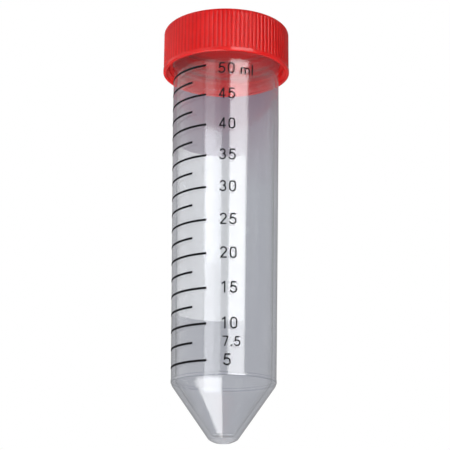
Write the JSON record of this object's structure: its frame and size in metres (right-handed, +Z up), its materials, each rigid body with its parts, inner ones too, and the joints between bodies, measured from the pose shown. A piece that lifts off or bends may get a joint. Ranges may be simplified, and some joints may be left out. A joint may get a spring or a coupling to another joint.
{
  "type": "conical centrifuge tube with screw cap",
  "caption": "Clear plastic tube with a conical bottom, printed volume marks and numerals, a rear writing panel, a sealing disc and a ribbed red screw cap.",
  "frame": {"origin": "the lowest point of the tip, on the tube's axis", "axes": "+Z up along the tube's axis from the tip to the cap; the printed graduations face -Y and the writing panel faces +Y; +X is to the right of someone reading the numerals"},
  "size_m": [0.0353, 0.0352, 0.1156],
  "materials": {
    "clear_plastic": "clear moulded polypropylene, glossy with a faint haze",
    "black_ink": "thin printed ink, satin",
    "white_ink": "thin frosted white print for pencil or marker",
    "seal_plastic": "soft red polyethylene",
    "red_plastic": "moulded red polyethylene, semi-gloss"
  },
  "bodies": {
    "tube": {"tube_body": "clear_plastic", "graduation_marks": "black_ink", "graduation_numerals": "black_ink", "writing_panel": "white_ink"},
    "seal": {"cap_seal": "seal_plastic"},
    "cap": {"screw_cap": "red_plastic"}
  },
  "joints": [
    {"name": "cap_lift", "type": "slide", "parent": "tube", "child": "seal", "axis": [0, 0, 1], "range_m": [0, 0.014]},
    {"name": "cap_turn", "type": "hinge", "parent": "seal", "child": "cap", "pos_m": [0, 0, 0.1085], "axis": [0, 0, 1], "range_deg": [0, 1260]}
  ],
  "couplings": [
    {"joint": "cap_lift", "follows": "cap_turn", "m_per_rad": 0.00063662}
  ]
}
